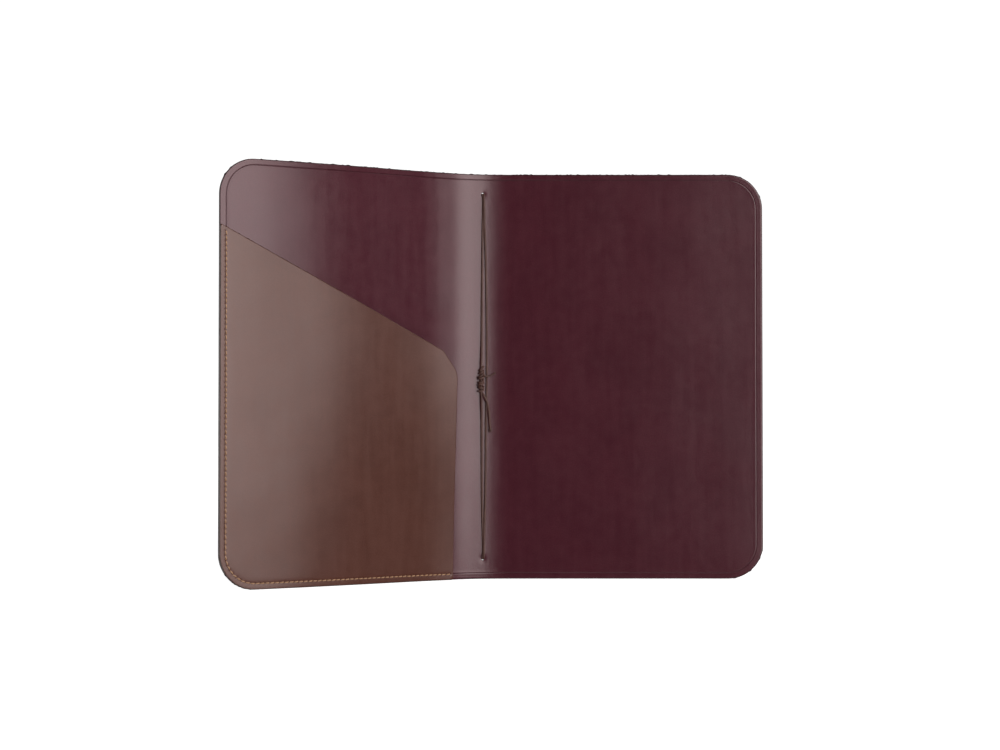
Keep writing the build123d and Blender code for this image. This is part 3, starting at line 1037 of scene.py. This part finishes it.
def cord_material():
    """Dark brown waxed cord, with fibres that follow its twist."""
    nodes = Nodes("cord")
    along = nodes.uv("along", (9.0, 3.0, 1.0))
    fibres = nodes.noise(along, 3.0, detail=4.0, roughness=0.6)
    patches = nodes.noise(nodes.uv("along", (0.6, 0.25, 1.0)), 2.0, detail=2.0)
    colour = nodes.mix(fibres, (0.045, 0.018, 0.014, 1), (0.12, 0.05, 0.037, 1))
    colour = nodes.mix(nodes.ramp(patches, 0.35, 0.75, 0.0, 0.45), colour, (0.15, 0.07, 0.05, 1))
    nodes.feed(nodes.shader.inputs["Base Color"], colour)
    nodes.feed(nodes.shader.inputs["Roughness"], nodes.ramp(fibres, 0.2, 0.8, 0.5, 0.68))
    nodes.feed(nodes.shader.inputs["Normal"], nodes.bump(fibres, 0.03 * MM, 0.7))
    return nodes.material


# ---------------------------------------------------------------- camera, lights and floor

CAMERA_DISTANCE = 677.3 * MM
CAMERA_SIDE = 5.98 * MM
CAMERA_HEIGHT = 56.06 * MM
CAMERA_PITCH = radians(1.215)
CAMERA_LENS = 70.4

# Brightness of the background for the wallet and for the camera, and of the floor for the camera
WORLD_LIGHT = 0.01
WORLD_SEEN = 1.1
FLOOR_SEEN = 0.9

# Distance of every soft light from the wallet, in metres
LIGHT_DISTANCE = 4.0

# Name, azimuths, elevations and brightness of each soft light, all round the wallet
LIGHTS = (
    ("softbox_near_end", (12.3, 28.0), (-6.3, 38.0), 4.5),
    ("softbox_middle", (28.0, 45.0), (-6.3, 38.0), 4.95),
    ("softbox_far_end", (45.0, 52.25), (-6.3, 38.0), 4.5),
    ("right_fill", (68.0, 105.0), (-5.5, 38.0), 1.7),
    ("left_fill", (-65.0, -25.0), (-25.0, 30.0), 0.7),
    ("low_fill", (-20.0, 50.0), (-45.0, -14.0), 0.7),
    ("back_right", (125.0, 160.0), (-30.0, 40.0), 0.5),
    ("back_key", (197.0, 232.0), (-30.0, 45.0), 1.4),
    ("back_left", (235.0, 265.0), (-30.0, 40.0), 0.7),
)


def build_camera():
    """Camera in front of the open wallet, level with its lower half."""
    data = bpy.data.cameras.new("camera")
    data.lens = CAMERA_LENS
    data.sensor_width = 36.0
    camera = bpy.data.objects.new("camera", data)
    camera.location = HOLE_LINE + Vector((CAMERA_SIDE, -CAMERA_DISTANCE, CAMERA_HEIGHT))
    camera.rotation_euler = (pi / 2 + CAMERA_PITCH, 0, 0)
    bpy.context.scene.collection.objects.link(camera)
    bpy.context.scene.camera = camera


def add_panel_light(name, azimuths, elevations, radiance):
    """Upright soft light that spans these angles, in degrees, as seen from the middle of the wallet.

    Azimuth 0 is on the camera's side and 90 is towards +X.
    """
    middle = radians(sum(azimuths) / 2)
    width = 2 * LIGHT_DISTANCE * tan(radians(azimuths[1] - azimuths[0]) / 2)
    low, high = [LIGHT_DISTANCE * tan(radians(angle)) for angle in elevations]
    data = bpy.data.lights.new(name, "AREA")
    data.shape = "RECTANGLE"
    data.size, data.size_y = width, high - low
    data.energy = radiance * pi * width * (high - low)
    light = bpy.data.objects.new(name, data)
    towards = Vector((sin(middle), -cos(middle), 0))
    centre = Vector((HOLE_LINE.x, HOLE_LINE.y, (HEIGHT + low + high) / 2))
    light.location = centre + towards * LIGHT_DISTANCE
    light.rotation_euler = towards.to_track_quat("Z", "Y").to_euler()
    bpy.context.scene.collection.objects.link(light)


def build_floor():
    """Pale floor that runs into a white background, just below the wallet."""
    reach = 3.0
    mesh = bpy.data.meshes.new("floor")
    corners = [(-reach, -reach, 0), (reach, -reach, 0), (reach, reach, 0), (-reach, reach, 0)]
    mesh.from_pydata(corners, [], [(0, 1, 2, 3)])
    nodes = Nodes("floor")
    nodes.shader.inputs["Base Color"].default_value = (0.8, 0.8, 0.8, 1)
    nodes.shader.inputs["Roughness"].default_value = 0.9
    nodes.shader.inputs["Specular IOR Level"].default_value = 0.1
    nodes.shader.inputs["Emission Color"].default_value = (1, 1, 1, 1)
    seen = nodes.new("ShaderNodeLightPath").outputs["Is Camera Ray"]
    nodes.feed(nodes.shader.inputs["Emission Strength"], nodes.math("MULTIPLY", seen, FLOOR_SEEN))
    floor = add_object("floor", mesh, nodes.material)
    floor.location.z = -0.02 * MM
    floor.visible_glossy = False
    floor.visible_shadow = False


def build_world():
    """White background that lights the wallet only dimly."""
    world = bpy.data.worlds.new("studio")
    bpy.context.scene.world = world
    world.use_nodes = True
    tree = world.node_tree
    background = tree.nodes["Background"]
    background.inputs["Color"].default_value = (1, 1, 1, 1)
    path = tree.nodes.new("ShaderNodeLightPath")
    strength = tree.nodes.new("ShaderNodeMapRange")
    strength.inputs["To Min"].default_value = WORLD_LIGHT
    strength.inputs["To Max"].default_value = WORLD_SEEN
    tree.links.new(path.outputs["Is Camera Ray"], strength.inputs["Value"])
    tree.links.new(strength.outputs[0], background.inputs["Strength"])


def build_stage():
    """Everything round the wallet."""
    build_camera()
    build_world()
    build_floor()
    for name, azimuths, elevations, radiance in LIGHTS:
        add_panel_light(name, azimuths, elevations, radiance)
    bpy.context.scene.view_settings.view_transform = "Standard"


# ---------------------------------------------------------------- the wallet

build_stage()
cover_leather = leather_material(
    "cover_leather",
    dark=(0.0575, 0.0098, 0.0172, 1),
    light=(0.069, 0.0124, 0.0206, 1),
    edge=(0.028, 0.009, 0.011, 1),
    groove_dirt_and_shade=0.4,
    roughness=0.2,
    tint=(1.0, 0.84, 0.835, 1),
)
pocket_leather = leather_material(
    "pocket_leather",
    dark=(0.0755, 0.0255, 0.0175, 1),
    light=(0.0905, 0.0315, 0.0215, 1),
    edge=(0.036, 0.015, 0.009, 1),
    groove_dirt_and_shade=0.2,
    roughness=0.235,
    tint=(1.0, 0.825, 0.785, 1),
)
thread = thread_material()
cord = cord_material()

build_cover_half(
    "cover_front_leather", -1, cover_leather, ("cover_front_panel", "cover_spine")
)
build_cover_half("cover_back_leather", 1, cover_leather, ("cover_back_panel",))
build_pocket(pocket_leather)
build_stitches("pocket_stitches_inside", "pocket_thread_inside", thread, seam_level_inside, 1)
build_stitches("pocket_stitches_outside", "pocket_thread_outside", thread, seam_level_outside, -1)
build_cord(cord)
